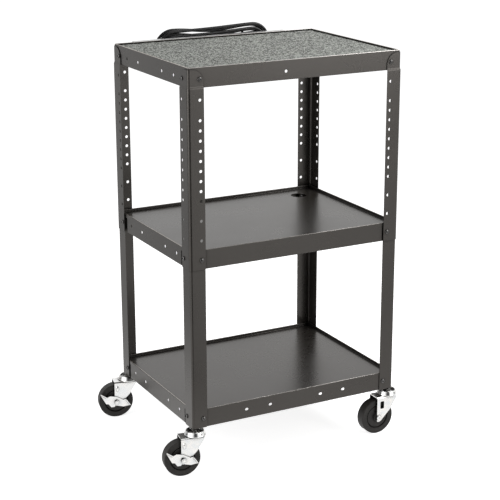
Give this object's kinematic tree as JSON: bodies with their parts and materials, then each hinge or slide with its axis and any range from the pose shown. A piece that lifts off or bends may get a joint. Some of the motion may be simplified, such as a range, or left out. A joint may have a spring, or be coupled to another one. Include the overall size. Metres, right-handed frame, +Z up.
{
  "type": "audio visual cart",
  "caption": "Height-adjustable steel cart with tray shelves on perforated angle legs, braked swivel casters, a non-slip top mat and a rear power cord.",
  "frame": {"origin": "on the floor under the middle of the cart's box, casters counted and the cord not", "axes": "+X along the long side to the right, +Y from front to back, +Z up"},
  "size_m": [0.7102, 0.5562, 1.0883],
  "materials": {
    "frame_paint": "satin charcoal powder coat",
    "zinc_plate": "bright zinc plate",
    "black_bolt": "black oxide",
    "mat_rubber": "matt, fine pebble",
    "wheel_rubber": "hard, satin",
    "housing_aluminium": "satin",
    "cord_jacket": "satin",
    "plug_plastic": "satin"
  },
  "bodies": {
    "lower_frame": {"middle_shelf": "frame_paint", "bottom_shelf": "frame_paint", "lower_leg_front_left": "frame_paint", "lower_leg_front_right": "frame_paint", "lower_leg_back_left": "frame_paint", "lower_leg_back_right": "frame_paint", "caster_stem_front_left": "zinc_plate", "caster_stem_front_right": "zinc_plate", "caster_stem_back_left": "zinc_plate", "caster_stem_back_right": "zinc_plate", "middle_bolt_front_left_long": "black_bolt", "middle_bolt_front_left_short": "black_bolt", "middle_bolt_front_right_long": "black_bolt", "middle_bolt_front_right_short": "black_bolt", "middle_bolt_back_left_long": "black_bolt", "middle_bolt_back_left_short": "black_bolt", "middle_bolt_back_right_long": "black_bolt", "middle_bolt_back_right_short": "black_bolt", "bottom_bolt_front_left_long": "black_bolt", "bottom_bolt_front_left_short": "black_bolt", "bottom_bolt_front_right_long": "black_bolt", "bottom_bolt_front_right_short": "black_bolt", "bottom_bolt_back_left_long": "black_bolt", "bottom_bolt_back_left_short": "black_bolt", "bottom_bolt_back_right_long": "black_bolt", "bottom_bolt_back_right_short": "black_bolt"},
    "upper_frame": {"top_shelf": "frame_paint", "top_mat": "mat_rubber", "upper_leg_front_left": "frame_paint", "upper_leg_front_right": "frame_paint", "upper_leg_back_left": "frame_paint", "upper_leg_back_right": "frame_paint", "top_bolt_front_left_long": "black_bolt", "top_bolt_front_left_short": "black_bolt", "top_bolt_front_right_long": "black_bolt", "top_bolt_front_right_short": "black_bolt", "top_bolt_back_left_long": "black_bolt", "top_bolt_back_left_short": "black_bolt", "top_bolt_back_right_long": "black_bolt", "top_bolt_back_right_short": "black_bolt", "outlet_housing": "housing_aluminium", "cord_bracket": "frame_paint", "cord_hank": "cord_jacket", "supply_lead": "cord_jacket", "plug_lead": "cord_jacket", "power_plug": "plug_plastic"},
    "fork_front_left": {"caster_fork_front_left": "zinc_plate", "caster_axle_front_left": "zinc_plate"},
    "wheel_front_left": {"caster_wheel_front_left": "wheel_rubber"},
    "fork_front_right": {"caster_fork_front_right": "zinc_plate", "caster_axle_front_right": "zinc_plate"},
    "wheel_front_right": {"caster_wheel_front_right": "wheel_rubber"},
    "fork_back_left": {"caster_fork_back_left": "zinc_plate", "caster_axle_back_left": "zinc_plate"},
    "wheel_back_left": {"caster_wheel_back_left": "wheel_rubber"},
    "fork_back_right": {"caster_fork_back_right": "zinc_plate", "caster_axle_back_right": "zinc_plate"},
    "wheel_back_right": {"caster_wheel_back_right": "wheel_rubber"},
    "brake_front_left": {"brake_lever_front_left": "zinc_plate"},
    "brake_back_left": {"brake_lever_back_left": "zinc_plate"}
  },
  "joints": [
    {"name": "height_adjust", "type": "slide", "parent": "lower_frame", "child": "upper_frame", "axis": [0, 0, 1], "range_m": [-0.3048, 0]},
    {"name": "swivel_front_left", "type": "hinge", "parent": "lower_frame", "child": "fork_front_left", "pos_m": [-0.26641, -0.24888, 0.108], "axis": [0, 0, 1], "continuous": true},
    {"name": "roll_front_left", "type": "hinge", "parent": "fork_front_left", "child": "wheel_front_left", "pos_m": [-0.3039, -0.24267, 0.049], "axis": [-0.1633, -0.9866, 0], "continuous": true},
    {"name": "swivel_front_right", "type": "hinge", "parent": "lower_frame", "child": "fork_front_right", "pos_m": [0.32659, -0.24888, 0.108], "axis": [0, 0, 1], "continuous": true},
    {"name": "roll_front_right", "type": "hinge", "parent": "fork_front_right", "child": "wheel_front_right", "pos_m": [0.28859, -0.24888, 0.049], "axis": [0, -1, 0], "continuous": true},
    {"name": "swivel_back_left", "type": "hinge", "parent": "lower_frame", "child": "fork_back_left", "pos_m": [-0.26641, 0.19172, 0.108], "axis": [0, 0, 1], "continuous": true},
    {"name": "roll_back_left", "type": "hinge", "parent": "fork_back_left", "child": "wheel_back_left", "pos_m": [-0.30357, 0.19969, 0.049], "axis": [-0.2096, -0.9778, 0], "continuous": true},
    {"name": "swivel_back_right", "type": "hinge", "parent": "lower_frame", "child": "fork_back_right", "pos_m": [0.32659, 0.19172, 0.108], "axis": [0, 0, 1], "continuous": true},
    {"name": "roll_back_right", "type": "hinge", "parent": "fork_back_right", "child": "wheel_back_right", "pos_m": [0.2888, 0.1957, 0.049], "axis": [-0.1045, -0.9945, 0], "continuous": true},
    {"name": "brake_front_left", "type": "hinge", "parent": "fork_front_left", "child": "brake_front_left", "pos_m": [-0.3039, -0.24267, 0.049], "axis": [-0.1633, -0.9866, 0], "range_deg": [0, 22]},
    {"name": "brake_back_left", "type": "hinge", "parent": "fork_back_left", "child": "brake_back_left", "pos_m": [-0.30357, 0.19969, 0.049], "axis": [-0.2096, -0.9778, 0], "range_deg": [0, 22]}
  ]
}
